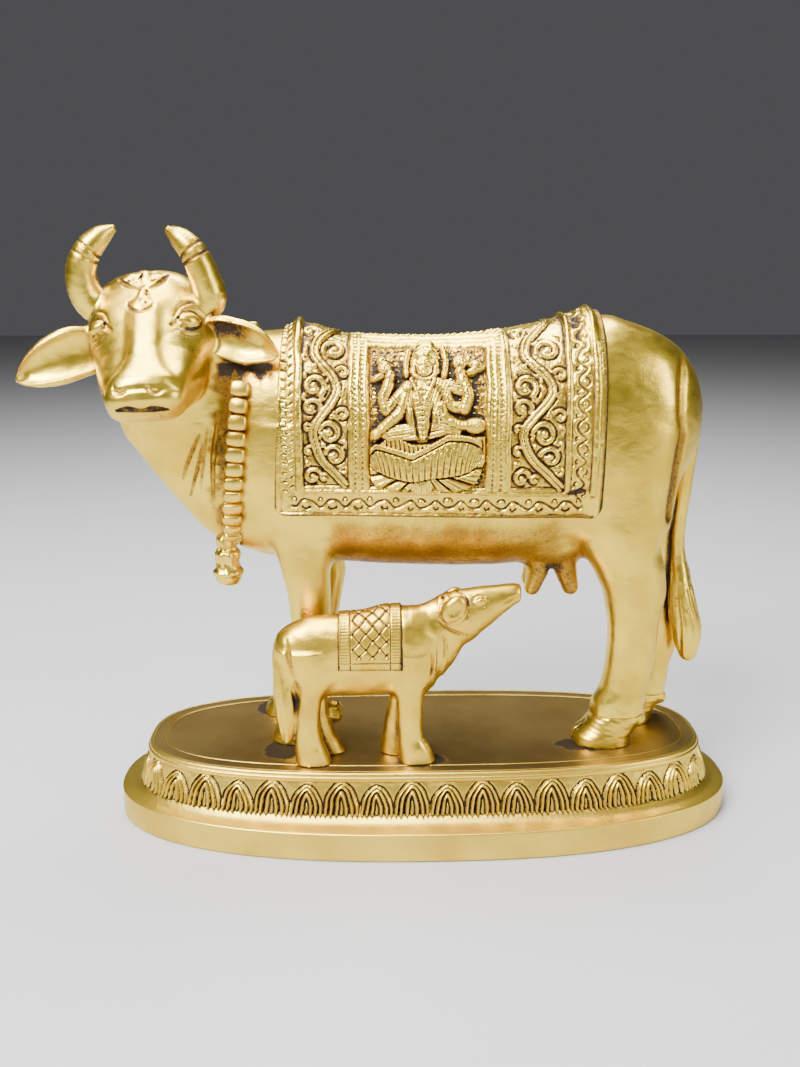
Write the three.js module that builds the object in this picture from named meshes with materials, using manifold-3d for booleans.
// Kamdhenu cow with her calf on an oval lotus plinth, in cast brass.
// Millimetres, +Z up. +X is the cow's tail end, and the calf stands on the -Y side.
// The origin is the middle of the plinth's underside.
import * as THREE from 'three';
import { mergeVertices } from 'three/addons/utils/BufferGeometryUtils.js';
import Module from 'manifold-3d';

// Plinth
const PLINTH_LENGTH = 200;
const PLINTH_DEPTH = 84;
const PLINTH_HEIGHT = 24.1;
const FLANGE_HEIGHT = 8.8;
const PLATE_INSET = 11.2;
const COVE_RISE = 2.6;
const PETAL_COUNT = 40;
const PETAL_RELIEF = 0.9;
const PETAL_FILL = 0.86;

// Cow
const COW_HEIGHT = 160;
const CLOTH_THICKNESS = 1.3;
const BORDER_RELIEF = 0.6;
const SCROLL_RELIEF = 0.8;
const FIGURE_HEIGHT = 43;
const BEADS_A_SIDE = 12;

// Calf
const CALF_HEIGHT = 55.6;
const CALF_CLEARANCE = 1.2;

// The figures are drawn at these heights, and scaled from them.
const COW_DRAWN_HEIGHT = 160;
const CALF_DRAWN_HEIGHT = 55.6;
const cowScale = COW_HEIGHT / COW_DRAWN_HEIGHT;
const calfScale = CALF_HEIGHT / CALF_DRAWN_HEIGHT;

const wasm = await Module();
wasm.setup();

// Solids

function vec(x, y, z) {
  return new THREE.Vector3(x, y, z);
}

function geometryFrom(points, triangles) {
  const geometry = new THREE.BufferGeometry();
  geometry.setAttribute('position', new THREE.Float32BufferAttribute(points.flatMap((p) => p.toArray()), 3));
  geometry.setIndex(triangles);
  return geometry;
}

function signedVolume(position, index) {
  const a = new THREE.Vector3();
  const b = new THREE.Vector3();
  const c = new THREE.Vector3();
  let volume = 0;
  for (let i = 0; i < index.length; i += 3) {
    a.fromBufferAttribute(position, index[i]);
    b.fromBufferAttribute(position, index[i + 1]);
    c.fromBufferAttribute(position, index[i + 2]);
    volume += a.dot(b.cross(c)) / 6;
  }
  return volume;
}

// A solid of a closed geometry, turned outwards where its faces point in.
function solid(source) {
  const geometry = source.clone();
  geometry.deleteAttribute('normal');
  geometry.deleteAttribute('uv');
  const merged = mergeVertices(geometry, 1e-4);
  const position = merged.getAttribute('position');
  const all = Array.from(merged.getIndex().array);
  const triangles = [];
  for (let i = 0; i < all.length; i += 3) {
    const [a, b, c] = all.slice(i, i + 3);
    if (a !== b && b !== c && c !== a) triangles.push(a, b, c);
  }
  if (signedVolume(position, triangles) < 0) triangles.reverse();
  const mesh = new wasm.Mesh({
    numProp: 3,
    vertProperties: new Float32Array(position.array),
    triVerts: new Uint32Array(triangles),
  });
  return new wasm.Manifold(mesh);
}

// Joins solids, and fills the pinholes left where more than two of them meet.
function union(solids) {
  const joined = solids.reduce((sum, next) => sum.add(next));
  const shells = joined.decompose().filter((shell) => shell.volume() > 0);
  return shells.reduce((sum, next) => sum.add(next));
}

function geometryOf(manifold) {
  const mesh = manifold.getMesh();
  const geometry = new THREE.BufferGeometry();
  geometry.setAttribute('position', new THREE.BufferAttribute(mesh.vertProperties, 3));
  geometry.setIndex(new THREE.BufferAttribute(mesh.triVerts, 1));
  geometry.computeVertexNormals();
  return geometry;
}

// A closed skin over rings of equal count, with a fan at each end.
function skin(rings) {
  const count = rings[0].length;
  const points = rings.flat();
  const triangles = [];
  for (let r = 0; r < rings.length - 1; r += 1) {
    for (let i = 0; i < count; i += 1) {
      const j = (i + 1) % count;
      const low = r * count;
      const high = low + count;
      triangles.push(low + i, low + j, high + j, low + i, high + j, high + i);
    }
  }
  const ends = [[0, true], [(rings.length - 1) * count, false]];
  for (const [start, first] of ends) {
    const ring = points.slice(start, start + count);
    const middle = ring.reduce((sum, p) => sum.add(p), vec(0, 0, 0)).divideScalar(count);
    const hub = points.length;
    points.push(middle);
    for (let i = 0; i < count; i += 1) {
      const j = (i + 1) % count;
      if (first) triangles.push(hub, start + j, start + i);
      else triangles.push(hub, start + i, start + j);
    }
  }
  return geometryFrom(points, triangles);
}

function power(value, exponent) {
  return Math.sign(value) * Math.abs(value) ** exponent;
}

// A ring of superellipse form. side and up are its unit axes.
function ovalRing(middle, side, up, { wide, high, low = high, square = 2 }, count) {
  const ring = [];
  for (let i = 0; i < count; i += 1) {
    const angle = (2 * Math.PI * i) / count;
    const across = wide * power(Math.cos(angle), 2 / square);
    const rise = power(Math.sin(angle), 2 / square);
    const lift = rise * (rise > 0 ? high : low);
    ring.push(middle.clone().addScaledVector(side, across).addScaledVector(up, lift));
  }
  return ring;
}

// A round tube along chosen points, with its own radius at each of them.
function taperedTube(points, radii, sides, steps) {
  const path = new THREE.CatmullRomCurve3(points, false, 'centripetal');
  const radius = new THREE.CatmullRomCurve3(radii.map((r, i) => vec(i, r, 0)));
  const frames = path.computeFrenetFrames(steps, false);
  const rings = [];
  for (let i = 0; i <= steps; i += 1) {
    const wide = Math.max(0.2, radius.getPoint(i / steps).y);
    const middle = path.getPoint(i / steps);
    rings.push(ovalRing(middle, frames.normals[i], frames.binormals[i], { wide, high: wide }, sides));
  }
  return solid(skin(rings));
}

function ball(middle, radii, turn = 0, columns = 10, rows = 6) {
  const geometry = new THREE.SphereGeometry(1, columns, rows);
  geometry.scale(...radii);
  geometry.rotateY(turn);
  geometry.translate(...middle);
  return solid(geometry);
}

// A flat shape in X and Z, made a slab between two depths in Y.
function slab(shape, fromY, toY, curveSegments = 6) {
  const depth = toY - fromY;
  const geometry = new THREE.ExtrudeGeometry(shape, { depth, bevelEnabled: false, curveSegments });
  geometry.rotateX(Math.PI / 2);
  geometry.translate(0, toY, 0);
  return solid(geometry);
}

const X_AXIS = vec(1, 0, 0);
const Y_AXIS = vec(0, 1, 0);
const Z_AXIS = vec(0, 0, 1);

// Plinth

const OVAL_SIDES = 48;
const FLANGE_SQUARE = 2.37;
const PLATE_SQUARE = 2.8;

function plinthRing(inset, z) {
  const share = inset / PLATE_INSET;
  const square = FLANGE_SQUARE + (PLATE_SQUARE - FLANGE_SQUARE) * share;
  const wide = PLINTH_LENGTH / 2 - inset;
  const high = PLINTH_DEPTH / 2 - inset;
  return ovalRing(vec(0, 0, z), X_AXIS, Y_AXIS, { wide, high, square }, OVAL_SIDES);
}

const BAND_FOOT = { inset: PLATE_INSET * 0.66, z: FLANGE_HEIGHT + COVE_RISE };
const BAND_TOP = { inset: PLATE_INSET * 0.9, z: PLINTH_HEIGHT - 3.2 };

function plinthBody() {
  const rise = COVE_RISE;
  const profile = [
    [0, 0],
    [0, FLANGE_HEIGHT],
    [PLATE_INSET * 0.45, FLANGE_HEIGHT + rise * 0.3],
    [BAND_FOOT.inset, BAND_FOOT.z],
    [BAND_TOP.inset, BAND_TOP.z],
    [PLATE_INSET * 0.83, PLINTH_HEIGHT - 1.6],
    [PLATE_INSET, PLINTH_HEIGHT],
  ];
  return solid(skin(profile.map(([inset, z]) => plinthRing(inset, z))));
}

// Places PETAL_COUNT steps of equal length round the middle of the petal band.
function bandStations() {
  const inset = (BAND_FOOT.inset + BAND_TOP.inset) / 2;
  const z = (BAND_FOOT.z + BAND_TOP.z) / 2;
  const loop = new THREE.CatmullRomCurve3(plinthRing(inset, z), true);
  const pitch = loop.getLength() / PETAL_COUNT;
  const stations = [];
  for (let i = 0; i < PETAL_COUNT; i += 1) {
    const share = (i + 0.5) / PETAL_COUNT;
    stations.push({ middle: loop.getPointAt(share), along: loop.getTangentAt(share), pitch });
  }
  return stations;
}

// Half the outline of a pointed petal: share of half its width, share of its height.
const PETAL_OUTLINE = [[0.8, -0.5], [0.95, 0.1], [0, 0.56]];

function petal({ middle, along, pitch }) {
  const height = BAND_TOP.z - BAND_FOOT.z;
  const slope = (BAND_TOP.inset - BAND_FOOT.inset) / height;
  const out = vec(along.y, -along.x, 0).normalize();
  const up = Z_AXIS.clone().addScaledVector(out, -slope);
  const halfWidth = (pitch * PETAL_FILL) / 2;
  const left = PETAL_OUTLINE.slice(0, -1).map(([x, y]) => [-x, y]);
  const outline = [...PETAL_OUTLINE, ...left.reverse()];
  const ringAt = (size, lift) => outline.map(([x, y]) => middle.clone()
    .addScaledVector(along, x * halfWidth * size)
    .addScaledVector(up, y * height * size)
    .addScaledVector(out, lift));
  return solid(skin([ringAt(1, -1.2), ringAt(0.72, PETAL_RELIEF)]));
}

function makePlinth() {
  const petals = bandStations().map(petal);
  return plinthBody().add(union(petals));
}

// Cow's trunk: at each x its middle, half width and the heights of its back and belly.

const TRUNK_SIDES = 16;
const TRUNK_SQUARE = 2.3;
const TRUNK = [
  [-66, 8, 112, 76],
  [-62, 12.5, 123, 66],
  [-57, 15.5, 128.4, 61],
  [-50, 17.5, 129.6, 58.9],
  [-36, 19.1, 130.8, 57.7],
  [-24, 19.5, 127.8, 57.1],
  [0, 20.3, 127.2, 56.3],
  [20, 20.5, 128.8, 56.6],
  [35, 20.2, 131.6, 58.9],
  [46, 20, 134.2, 62.9],
  [54, 19.6, 134.7, 67.9],
  [61, 19, 133, 72.9],
  [69, 17.3, 130, 78],
  [76, 13.5, 125.3, 83],
  [81, 9, 119, 89],
  [83.5, 4.5, 112, 96],
];

// The spine runs askew, from the near side at the rump to the far side at the chest.
function spineY(x) {
  return 3 - 0.065 * x;
}

function trunk(extra) {
  const rings = TRUNK.map(([x, wide, back, belly]) => {
    const middle = vec(x, spineY(x), (back + belly) / 2);
    const high = (back - belly) / 2 + extra;
    return ovalRing(middle, Y_AXIS, Z_AXIS, { wide: wide + extra, high, square: TRUNK_SQUARE }, TRUNK_SIDES);
  });
  return solid(skin(rings));
}

// Legs: height, x and y of the middle, half length and half width.

const HIND_LEG = [
  [112, 60, -5, 15, 9],
  [90, 60.8, -7.5, 16.2, 11.6],
  [72, 60.2, -8.8, 15, 10.6],
  [66, 60, -9.2, 13, 9.4],
  [57, 64.2, -9.5, 11.2, 7.8],
  [48, 66.9, -9.7, 9.5, 6.8],
  [40, 67.2, -9.8, 8.1, 6],
  [28, 67.2, -10, 7.8, 5.8],
  [18, 65.4, -10, 7.2, 6],
  [11, 63.4, -10, 8, 6.4],
  [5, 60.5, -10, 7.6, 6.4],
];
const FRONT_LEG = [
  [100, -41, -2, 13, 8.5],
  [76, -39.4, -4, 11, 8.4],
  [67, -38.8, -4.6, 9.2, 7.2],
  [57, -38, -5, 7.9, 6.4],
  [47, -37, -5, 6.8, 5.8],
  [36, -36.6, -5, 6.2, 5.7],
  [22, -37.2, -5, 5.3, 5],
  [12, -38.4, -5, 5.8, 5.4],
  [5, -40.5, -5, 6.6, 6],
];

// Hoof: height, and its toe and heel and half width as shares of its own length.
const HOOF = [
  [0, 0, 1, 0.42],
  [2.5, 0.02, 1, 0.41],
  [5.5, 0.16, 1.06, 0.36],
  [9, 0.36, 1.14, 0.32],
];
const HOOF_LENGTH = 19;
const LEG_SIDES = 8;

// The swing moves the foot and the elbow or hock along x, and dies out at the hip.
function swingAt(z, { foot = 0, joint = 0, jointHeight = 50, hip = 105 }) {
  if (z <= jointHeight) return foot + ((joint - foot) * z) / jointHeight;
  return joint * Math.max(0, 1 - (z - jointHeight) / (hip - jointHeight));
}

function leg(table, swing, mirrorY, toeX) {
  const place = (x, y, z) => vec(x + swingAt(z, swing), mirrorY === null ? y : 2 * mirrorY - y, z);
  const shank = table.map(([z, x, y, long, wide]) => (
    ovalRing(place(x, y, z), X_AXIS, Y_AXIS, { wide: long, high: wide, square: 2.3 }, LEG_SIDES)
  ));
  const footY = table[table.length - 1][2];
  const hoof = HOOF.map(([z, toe, heel, wide]) => {
    const middle = place(toeX + (HOOF_LENGTH * (toe + heel)) / 2, footY, z);
    const half = (HOOF_LENGTH * (heel - toe)) / 2;
    return ovalRing(middle, X_AXIS, Y_AXIS, { wide: half, high: HOOF_LENGTH * wide, square: 2.6 }, LEG_SIDES);
  });
  const [, fetlockX, , fetlockLong] = table[table.length - 2];
  const dewclaw = place(fetlockX + fetlockLong * 0.95, footY, 8);
  return union([
    solid(skin(shank)),
    solid(skin(hoof)),
    ball(dewclaw.toArray(), [3, 4, 2.6], 0, 6, 3),
  ]);
}

function legs() {
  const farHindMirror = -1.2;
  const farFrontMirror = 5.6;
  return union([
    leg(HIND_LEG, {}, null, 47.2),
    leg(HIND_LEG, { foot: 11, joint: 9.5 }, farHindMirror, 47.2),
    leg(FRONT_LEG, {}, null, -50.2),
    leg(FRONT_LEG, { foot: -4.5, joint: 4.5 }, farFrontMirror, -50.2),
  ]);
}

// Neck: middle, half width, half heights above and below, and backward lean in degrees.

const NECK_SIDES = 16;
const NECK = [
  { at: [-47, 5.6, 94], wide: 16, high: 33, low: 33, lean: 0 },
  { at: [-59, 4.8, 96], wide: 14.4, high: 33.5, low: 31.5, lean: 14 },
  { at: [-65, 3.4, 101], wide: 13, high: 31, low: 27, lean: 28 },
  { at: [-70.5, 1.4, 107.5], wide: 12.2, high: 28, low: 24.5, lean: 38 },
  { at: [-77, -2.5, 114], wide: 12, high: 24, low: 21, lean: 46 },
  { at: [-81, -8, 120], wide: 11.5, high: 18, low: 16, lean: 50 },
];

function leaningUp(lean) {
  const angle = THREE.MathUtils.degToRad(lean);
  return vec(Math.sin(angle), 0, Math.cos(angle));
}

function neck() {
  return solid(skin(NECK.map(({ at, wide, high, low, lean }) => (
    ovalRing(vec(...at), Y_AXIS, leaningUp(lean), { wide, high, low, square: 2.15 }, NECK_SIDES)
  ))));
}

// Head, drawn upright with its face towards -Y and the point between the eyes at the
// origin, then leant back, tilted and turned into place.

const HEAD_AT = [-81, -18, 133.6];
const HEAD_LEAN = 44;
const HEAD_TILT = 4;
const HEAD_TURN = 3;
const HEAD_SIDES = 16;

// Height, half width, and the depths of the face, of the widest line and of the jaw.
const HEAD = [
  [22.6, 7.5, 4, 8, 12],
  [20.4, 13.5, 1, 9, 18],
  [16, 16.8, -0.4, 10, 24],
  [9, 18, -0.6, 11, 28],
  [2, 17.8, 0.3, 12, 29],
  [-6, 16.2, 0.6, 13, 27],
  [-13, 15, 0.5, 12.5, 22.5],
  [-20, 12.8, -0.4, 9, 17],
  [-25.2, 10.4, -0.2, 6.2, 12],
  [-27.4, 7.6, 2.2, 6.5, 10],
];
const NOSE_BRIDGE = [
  [14, 3.4, 0.6],
  [6, 4.6, -0.9],
  [-4, 4.8, -1],
  [-14, 5.4, -1.3],
  [-20.5, 7.6, -2.1],
  [-23.5, 7, -1.2],
];

function faceRing([z, wide, front, widest, back]) {
  const middle = vec(0, widest, z);
  const shape = { wide, high: back - widest, low: widest - front, square: 2.1 };
  return ovalRing(middle, X_AXIS, Y_AXIS, shape, HEAD_SIDES);
}

function bridgeRing([z, wide, front]) {
  const depth = 5;
  const middle = vec(0, front + depth, z);
  return ovalRing(middle, X_AXIS, Y_AXIS, { wide, high: depth, square: 3.2 }, 10);
}

function setHead(part) {
  return part.rotate([-HEAD_LEAN, 0, 0]).rotate([0, -HEAD_TILT, 0]).rotate([0, 0, HEAD_TURN]).translate(HEAD_AT);
}

function eye(side) {
  return ball([side * 14 - 1, 4, 2], [4, 3.4, 2.9], side * 0.5, 8, 4);
}

function browOrnament() {
  return union([
    ball([-1, 1.2, 15.5], [7, 2.4, 3], 0, 8, 4),
    ball([-1, 0, 10], [2.6, 2, 3.4], 0, 6, 4),
  ]);
}

// Lips stand out under the nostrils, with the mouth cut between them.
function muzzle() {
  const lips = ball([0, 6, -24.8], [9.6, 6.4, 3.4], 0, 10, 5);
  const mouth = ball([0, 3.4, -28.6], [7.2, 1, 2.4], 0, 6, 4);
  return lips.subtract(mouth);
}

function head() {
  const skull = solid(skin(HEAD.map(faceRing))).add(solid(skin(NOSE_BRIDGE.map(bridgeRing))));
  const nostrils = [-1, 1].map((side) => ball([side * 5.6, -1.8, -23], [1.8, 1.6, 1.1], 0, 5, 3));
  const mouth = ball([0, 3, -27.6], [7, 4, 0.8], 0, 6, 4);
  const face = union([skull, muzzle(), eye(-1), eye(1), browOrnament()]);
  return setHead(face.subtract(union([...nostrils, mouth])));
}

function horns() {
  const left = [
    vec(-92, -3, 135), vec(-99, -5, 138.8), vec(-100.9, -6.5, 146.5),
    vec(-98.4, -7, 153), vec(-94.6, -6.5, 157.2), vec(-90.6, -6, 160.2),
  ];
  const right = [
    vec(-72, -3, 135), vec(-64.4, -5, 138.8), vec(-65.1, -6.5, 145.7),
    vec(-67.9, -7, 152.7), vec(-71.8, -6.5, 156.5), vec(-75.2, -6, 159.6),
  ];
  const radii = [5.6, 4.9, 4.4, 3.7, 2.7, 0.9];
  return union([left, right].map((path) => taperedTube(path, radii, 8, 8)));
}

// Ears: a leaf of oval sections, hollowed on the side that faces -Y.

const LEFT_EAR = [
  [-96, -4, 125, 5],
  [-100, -6, 124.6, 7.4],
  [-106.5, -8, 123.3, 8.3],
  [-112.3, -9, 121.4, 7.3],
  [-118, -9.5, 118.9, 4.5],
  [-121.4, -9.5, 116.3, 0.9],
];
const RIGHT_EAR = [
  [-66, -3, 129.6, 4.6],
  [-60.3, -5, 129, 6.3],
  [-54.9, -8, 127.7, 6.8],
  [-49.2, -10.5, 126.5, 5.3],
  [-45, -12, 124.7, 2.7],
  [-43.2, -12.5, 123.9, 0.8],
];
const EAR_THICKNESS = 5.4;

function ear(table) {
  const leaf = (size, shift) => solid(skin(table.map(([x, y, z, tall]) => {
    const thick = Math.min(EAR_THICKNESS / 2, tall) * size;
    return ovalRing(vec(x, y + shift, z), Y_AXIS, Z_AXIS, { wide: thick, high: tall * size }, 8);
  })));
  return leaf(1, 0).subtract(leaf(0.74, -EAR_THICKNESS * 0.34));
}

// Tail: hangs clear of the rump, and meets the far leg at its hock.
function tail() {
  const path = [
    vec(74, -1.5, 121), vec(79.4, -1.8, 115.5), vec(82.2, -1.6, 106), vec(82.2, -1, 92),
    vec(81, 0.6, 70), vec(81.4, 1.2, 58), vec(84, 0, 44), vec(86.6, -1, 33), vec(87.2, -1.5, 22.5),
  ];
  const radii = [3.4, 3.4, 3.2, 2.8, 2.6, 2.7, 4.1, 4.5, 1.2];
  return taperedTube(path, radii, 7, 14);
}

function udder() {
  const teat = (x, y) => taperedTube([vec(x, y, 62), vec(x, y, 54), vec(x + 0.6, y, 47)], [3.6, 2.9, 1.6], 6, 3);
  return union([
    ball([40, 0.5, 64], [12, 11, 10], 0, 10, 6),
    teat(34.8, -4), teat(45.4, -4), teat(34.8, 5), teat(45.4, 5),
  ]);
}

// Saddle cloth: every motif is a flat shape in X and Z, cut out of a thicker trunk.

const CLOTH = { front: -46.2, rear: 51.6, hem: 76, top: 150, slant: 3 };
const BORDER = { front: 8.2, rear: 8.4, hem: 8 };

function outline(points) {
  return new THREE.Shape(points.map(([x, z]) => new THREE.Vector2(x, z)));
}

function clothOutline(inFront, inRear, inHem) {
  const { front, rear, hem, top, slant } = CLOTH;
  return [
    [front + inFront + 2.5, hem + inHem],
    [rear - inRear, hem + inHem],
    [rear - inRear, top],
    [front + slant + inFront, top],
    [front + inFront, hem + inHem + 2.5],
  ];
}

function box2(left, right, low, high) {
  return [[left, low], [right, low], [right, high], [left, high]];
}

function frameShape(outer, inner) {
  const shape = outline(outer);
  shape.holes.push(new THREE.Path(inner.map(([x, z]) => new THREE.Vector2(x, z))));
  return shape;
}

// Keeps what lies over the shape, on one side of the trunk (-1 near, 1 far) or on both.
function raised(shape, lift, side = 0, curveSegments = 6) {
  const reach = 60;
  const fromY = side > 0 ? 3 : -reach;
  const toY = side < 0 ? 3 : reach;
  return trunk(CLOTH_THICKNESS + lift).intersect(slab(shape, fromY, toY, curveSegments));
}

const SCROLL_PANELS = [[-36.3, -24.2], [24.6, 38.2]];
const PANEL_LOW = 84;
const PANEL_HIGH = 124.5;

// A vine that sways from side to side, as a ribbon of even width.
function vine(left, right) {
  const middle = (left + right) / 2;
  const sway = (right - left) * 0.26;
  const turns = 1.5;
  const steps = 8;
  const half = 0.75;
  const edge = [-half, half].map((offset) => {
    const points = [];
    for (let i = 0; i <= steps; i += 1) {
      const share = i / steps;
      const x = middle + sway * Math.sin(2 * Math.PI * turns * share) + offset;
      points.push([x, PANEL_LOW + 1.5 + (PANEL_HIGH - PANEL_LOW - 3) * share]);
    }
    return points;
  });
  return outline([...edge[0], ...edge[1].reverse()]);
}

// A curl of the vine: a ring with its middle sunk.
function curl(x, z, radius) {
  const shape = new THREE.Shape();
  shape.absarc(x, z, radius, 0, 2 * Math.PI);
  const eyelet = new THREE.Path();
  eyelet.absarc(x, z, radius * 0.45, 0, 2 * Math.PI);
  shape.holes.push(eyelet);
  return shape;
}

function scrollPanel([left, right], side) {
  const middle = (left + right) / 2;
  const sway = (right - left) * 0.2;
  const tall = PANEL_HIGH - PANEL_LOW;
  const curls = [0.17, 0.5, 0.83].map((share, i) => (
    raised(curl(middle + (i % 2 ? sway : -sway), PANEL_LOW + tall * share, 3), SCROLL_RELIEF, side, 3)
  ));
  return union([raised(vine(left, right), SCROLL_RELIEF, side), ...curls]);
}

function panelFrame([left, right], side) {
  const width = 0.9;
  const outer = box2(left - width, right + width, PANEL_LOW - width, PANEL_HIGH + width);
  return raised(frameShape(outer, box2(left, right, PANEL_LOW, PANEL_HIGH)), BORDER_RELIEF, side);
}

const FIGURE_AT = { x: -1, foot: 82.5 };
const FIGURE_DRAWN_HEIGHT = 43;

// The near face of the cloth at a place in X and Z.
function clothFace(x, z) {
  const at = TRUNK.findIndex((row) => row[0] > x);
  const [x0, wide0, back0, belly0] = TRUNK[at - 1];
  const [x1, wide1, back1, belly1] = TRUNK[at];
  const share = (x - x0) / (x1 - x0);
  const wide = THREE.MathUtils.lerp(wide0, wide1, share) + CLOTH_THICKNESS;
  const back = THREE.MathUtils.lerp(back0, back1, share) + CLOTH_THICKNESS;
  const belly = THREE.MathUtils.lerp(belly0, belly1, share) - CLOTH_THICKNESS;
  const level = Math.min(0.97, Math.abs((2 * z - back - belly) / (back - belly)));
  return spineY(x) - wide * (1 - level ** TRUNK_SQUARE) ** (1 / TRUNK_SQUARE);
}

// A goddess seated on a lotus, in low relief: sizes are for a figure 43 mm high.
function figure() {
  const size = FIGURE_HEIGHT / FIGURE_DRAWN_HEIGHT;
  const place = (x, z) => {
    const px = FIGURE_AT.x + x * size;
    const pz = FIGURE_AT.foot + z * size;
    return [px, clothFace(px, pz), pz];
  };
  const bump = (x, z, wide, tall, proud, turn = 0) => (
    ball(place(x, z), [wide * size, proud * size, tall * size], turn, 7, 4)
  );
  const bud = (x, z) => ball(place(x, z), [2.4 * size, 1.8 * size, 2.8 * size], 0, 5, 4);
  const arm = (points) => {
    const path = points.map(([x, z]) => vec(...place(x, z)));
    return taperedTube(path, points.map(() => 1.3 * size), 5, 3);
  };
  const parts = [
    bump(0, 35.2, 3.4, 4, 2.8),
    bump(0, 40.6, 2.2, 3.2, 2),
    bump(0, 26.5, 4.6, 6.4, 2.6),
    bump(0, 17.4, 13.4, 3.6, 2.8),
    arm([[-4, 30], [-8, 27.4], [-10.8, 32.5]]),
    arm([[4, 30], [8, 27.4], [11.2, 33.5]]),
    arm([[-4.2, 28.5], [-7.4, 23], [-9, 18.6]]),
    arm([[4.2, 28.5], [7.4, 23], [9, 18.6]]),
    bud(-11.4, 35.2),
    bud(12, 36.4),
    bump(0, 11.4, 17, 5.4, 2.2),
    bump(0, 3.6, 12.5, 3.4, 1.6),
  ];
  return union([...parts, lotusSeat(place, size)]);
}

// Pointed petals, side by side along the front of the seat.
function lotusSeat(place, size) {
  const petals = [];
  for (let i = -2; i <= 2; i += 1) {
    const slope = i * 0.2;
    petals.push(ball(place(i * 6, 9.4 + Math.abs(i) * 0.8), [2.6 * size, 2.7 * size, 5 * size], slope, 5, 4));
  }
  return union(petals);
}

// The far side has an open lotus flower in place of the figure.
function rosette() {
  const centre = new THREE.Vector2(1, 104);
  const petals = 8;
  const shape = new THREE.Shape();
  for (let i = 0; i < petals * 2; i += 1) {
    const angle = (2 * Math.PI * i) / (petals * 2);
    const radius = 9.5 + 3.5 * Math.abs(Math.cos((petals * angle) / 2));
    const x = centre.x + radius * Math.cos(angle);
    const z = centre.y + radius * Math.sin(angle);
    if (i === 0) shape.moveTo(x, z);
    else shape.lineTo(x, z);
  }
  const heart = new THREE.Shape();
  heart.absarc(centre.x, centre.y, 4, 0, 2 * Math.PI);
  return raised(shape, SCROLL_RELIEF, 1).add(raised(heart, SCROLL_RELIEF * 2, 1, 4));
}

const MIDDLE_PANEL = [-19.4, 20.8];

function cloth() {
  const sheet = raised(outline(clothOutline(0, 0, 0)), 0);
  const border = raised(
    frameShape(clothOutline(0, 0, 0), clothOutline(BORDER.front, BORDER.rear, BORDER.hem).map(([x, z]) => (
      [x, Math.min(z, CLOTH.top - 1)]
    ))),
    BORDER_RELIEF,
  );
  const parts = [sheet, border, figure(), rosette()];
  for (const panel of [...SCROLL_PANELS, MIDDLE_PANEL]) parts.push(panelFrame(panel, -1));
  for (const panel of SCROLL_PANELS) parts.push(scrollPanel(panel, -1));
  return union(parts);
}

// Garland: square beads round the foot of the neck, with a bell under the chest.

const GARLAND = { at: [-57.6, 4.8, 96], wide: 15.8, high: 34.6, low: 31.6, lean: 6 };

function garland() {
  const { at, wide, high, low, lean } = GARLAND;
  const loop = new THREE.CatmullRomCurve3(
    ovalRing(vec(...at), Y_AXIS, leaningUp(lean), { wide, high, low, square: 2.15 }, 24),
    true,
  );
  const beads = [];
  const count = BEADS_A_SIDE * 2;
  for (let i = 0; i < count; i += 1) {
    const share = (i + 0.5) / count;
    const tangent = loop.getTangentAt(share);
    const geometry = new THREE.BoxGeometry(5.2, 3.6, 5.2);
    const turn = new THREE.Matrix4().makeBasis(X_AXIS, tangent.clone().cross(X_AXIS).normalize(), tangent);
    geometry.applyMatrix4(turn);
    geometry.translate(...loop.getPointAt(share));
    beads.push(solid(geometry));
  }
  return union(beads);
}

function bell() {
  const profile = [[0, 68], [2.6, 67], [3.4, 63.5], [2.8, 62.4], [4.4, 59], [3.6, 57.4], [4.8, 54.6], [3.4, 51.4], [0, 50.2]];
  const points = profile.reverse().map(([r, z]) => new THREE.Vector2(r, z));
  const geometry = new THREE.LatheGeometry(points, 10);
  geometry.rotateX(Math.PI / 2);
  geometry.translate(-63, 0.5, 0);
  return solid(geometry);
}

function makeCow() {
  const body = union([trunk(0), legs(), neck(), head(), horns(), ear(LEFT_EAR), ear(RIGHT_EAR), tail(), udder()]);
  const whole = union([body, cloth(), garland(), bell()]);
  return whole.scale([cowScale, cowScale, cowScale]).translate([0, 0, PLINTH_HEIGHT]);
}

// Calf, drawn with its middle plane at y = 0 and its hooves at z = 0.

const CALF_SIDES = 10;
const CALF_HALF_WIDTH = 8;
const CALF_TRUNK = [
  [-47.4, 2.5, 38, 30],
  [-46, 4.6, 41, 24],
  [-42, 6.6, 43.9, 20.4],
  [-36, 7.1, 46, 20],
  [-28, 7.2, 46.9, 20.8],
  [-20, 7.2, 47.5, 20.4],
  [-12.5, 7.2, 49.3, 21],
  [-7, 7.2, 49.4, 20.8],
  [-2, 6.8, 48.2, 20.8],
  [1.6, 5.6, 45, 23],
  [3.6, 3, 40, 28],
];
const CALF_NECK = [
  { at: [-6, 0, 35], wide: 6.4, high: 12.6, lean: 0 },
  { at: [0.5, 0, 38.4], wide: 5.8, high: 11.6, lean: -24 },
  { at: [5, 0, 43.4], wide: 5, high: 9.2, lean: -38 },
  { at: [9.5, 0, 47.5], wide: 4.8, high: 7.4, lean: -38 },
];
const CALF_HEAD = [
  [3.6, 3.4, 51.6, 43],
  [7, 4.8, 53.9, 38.4],
  [12, 5.2, 55, 37.6],
  [16.5, 4.6, 55.4, 41],
  [22, 3.5, 55.6, 45.2],
  [26.4, 2.9, 55.4, 49.4],
  [28, 1.8, 54.4, 51],
];
const CALF_HIND_LEG = [
  [36, -41, -3, 6, 3.9],
  [28, -39.4, -3.6, 5.4, 3.8],
  [21, -36.4, -4, 3.9, 3.4],
  [13, -37.8, -4.2, 3.8, 3.1],
  [5, -37.4, -4.2, 4, 3.3],
  [0, -36.4, -4.2, 5.4, 3.6],
];
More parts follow.
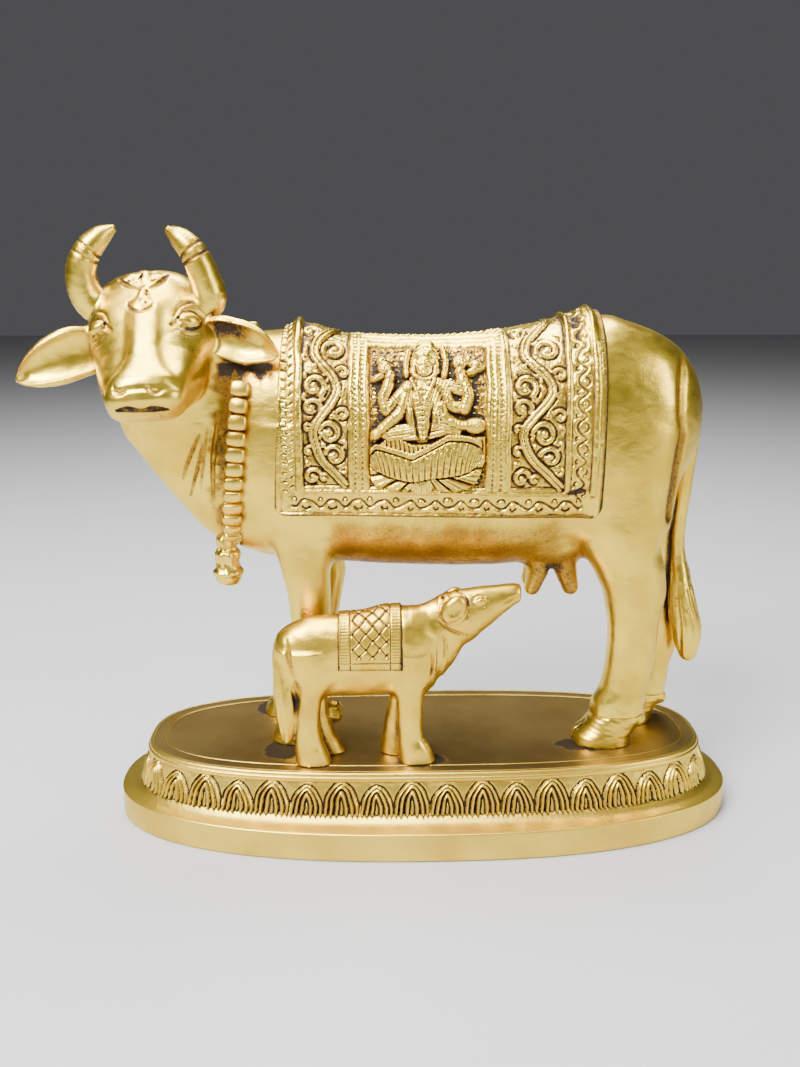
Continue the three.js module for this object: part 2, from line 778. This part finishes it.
const CALF_FRONT_LEG = [
  [34, -5.4, -3, 5, 3.6],
  [24, -5.8, -3.4, 4.2, 3.4],
  [16, -5.7, -3.6, 3.3, 3],
  [8, -5.6, -3.6, 3.3, 3],
  [4.6, -4.6, -3.6, 4.2, 3.4],
  [0, -3.2, -3.6, 5.2, 3.8],
];

function sideRings(table, square) {
  return table.map(([x, wide, top, bottom]) => {
    const shape = { wide, high: (top - bottom) / 2, square };
    return ovalRing(vec(x, 0, (top + bottom) / 2), Y_AXIS, Z_AXIS, shape, CALF_SIDES);
  });
}

function calfLeg(table, shift, mirror) {
  return solid(skin(table.map(([z, x, y, long, wide]) => {
    const middle = vec(x + shift * Math.max(0, 1 - z / 30), y * mirror, z);
    return ovalRing(middle, X_AXIS, Y_AXIS, { wide: long, high: wide, square: 2.3 }, 7);
  })));
}

function calfCloth() {
  const shape = outline([[-27.6, 27.5], [-10, 27.5], [-10, 60], [-27.6, 60]]);
  const rings = CALF_TRUNK.map(([x, wide, top, bottom]) => [x, wide + 0.6, top + 0.6, bottom - 0.6]);
  return solid(skin(sideRings(rings, 2.2))).intersect(slab(shape, -20, 20));
}

function makeCalf() {
  const neckRings = CALF_NECK.map(({ at, wide, high, lean }) => (
    ovalRing(vec(...at), Y_AXIS, leaningUp(lean), { wide, high }, CALF_SIDES)
  ));
  const tailPath = [vec(-44.5, 0, 42), vec(-47, -1.5, 36), vec(-46.4, -3, 26), vec(-44.6, -4, 14), vec(-43.6, -4.2, 5.5)];
  const calfEar = (side) => ball([8, side * 5, 47.5], [3.6, 1.5, 4.6], -0.5, 7, 4);
  const whole = union([
    solid(skin(sideRings(CALF_TRUNK, 2.2))),
    calfCloth(),
    solid(skin(neckRings)),
    solid(skin(sideRings(CALF_HEAD, 2))),
    calfLeg(CALF_HIND_LEG, 0, 1),
    calfLeg(CALF_HIND_LEG, 4.4, -1),
    calfLeg(CALF_FRONT_LEG, 0, 1),
    calfLeg(CALF_FRONT_LEG, -6, -1),
    taperedTube(tailPath, [2, 2.2, 2.6, 2.4, 1.2], 6, 6),
    calfEar(-1),
    calfEar(1),
  ]);
  const nearLegY = (-5 - 5.8) * cowScale;
  const y = nearLegY - CALF_CLEARANCE - CALF_HALF_WIDTH * calfScale;
  return whole.scale([calfScale, calfScale, calfScale]).translate([0, y, PLINTH_HEIGHT]);
}

// Assembly

function brass(color, roughness) {
  return new THREE.MeshStandardMaterial({ color, roughness, metalness: 1 });
}

function node(name, manifold, material) {
  const mesh = new THREE.Mesh(geometryOf(manifold), material);
  mesh.name = name;
  return mesh;
}

const statue = new THREE.Group();
statue.add(node('plinth', makePlinth(), brass(0xb08d4a, 0.42)));
statue.add(node('cow', makeCow(), brass(0xd9b560, 0.34)));
statue.add(node('calf', makeCalf(), brass(0xd9b560, 0.36)));

export default statue;
